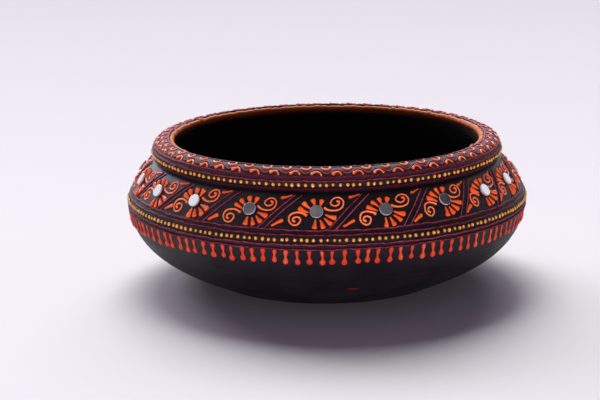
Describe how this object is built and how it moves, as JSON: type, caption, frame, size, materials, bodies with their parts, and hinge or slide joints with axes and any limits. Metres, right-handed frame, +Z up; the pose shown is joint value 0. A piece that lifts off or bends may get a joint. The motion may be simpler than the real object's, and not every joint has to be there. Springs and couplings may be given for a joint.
{
  "type": "decorative bowl",
  "caption": "Low round terracotta bowl with a rolled rim and narrow neck, piped paste lines, scrolls and tassels, and small round mirrors set in paste flowers round the shoulder.",
  "frame": {"origin": "centre of the foot's flat underside, on the surface that the bowl stands on", "axes": "+Z up along the bowl's axis, -Y towards the side that the picture shows"},
  "size_m": [0.2514, 0.2518, 0.0907],
  "materials": {
    "clay": "satin",
    "mirror": "polished",
    "orange_paste": "satin",
    "red_paste": "satin",
    "maroon_paste": "satin",
    "yellow_paste": "satin"
  },
  "bodies": {
    "root": {"clay_bowl": "clay", "lip_line": "yellow_paste", "fringe_line": "red_paste", "rim_lower_line": "maroon_paste", "rim_line_2": "maroon_paste", "rim_line_1": "maroon_paste", "rim_wave_line": "maroon_paste", "rim_inner_line": "maroon_paste", "belt_line_1": "maroon_paste", "belt_line_2": "maroon_paste", "belt_line_3": "maroon_paste", "mirror_flower_01": "orange_paste", "mirror_flower_02": "orange_paste", "mirror_flower_03": "orange_paste", "mirror_flower_04": "orange_paste", "mirror_flower_05": "orange_paste", "mirror_flower_06": "orange_paste", "mirror_flower_07": "orange_paste", "mirror_flower_08": "orange_paste", "mirror_flower_09": "orange_paste", "mirror_flower_10": "orange_paste", "mirror_flower_11": "orange_paste", "mirror_flower_12": "orange_paste", "mirror_flower_13": "orange_paste", "mirror_flower_14": "orange_paste", "mirror_flower_15": "orange_paste", "mirror_flower_16": "orange_paste", "mirror_flower_17": "orange_paste", "mirror_flower_18": "orange_paste", "mirror_flower_19": "orange_paste", "mirror_01": "mirror", "mirror_02": "mirror", "mirror_03": "mirror", "mirror_04": "mirror", "mirror_05": "mirror", "mirror_06": "mirror", "mirror_07": "mirror", "mirror_08": "mirror", "mirror_09": "mirror", "mirror_10": "mirror", "mirror_11": "mirror", "mirror_12": "mirror", "mirror_13": "mirror", "mirror_14": "mirror", "mirror_15": "mirror", "mirror_16": "mirror", "mirror_17": "mirror", "mirror_18": "mirror", "mirror_19": "mirror"}
  },
  "joints": []
}
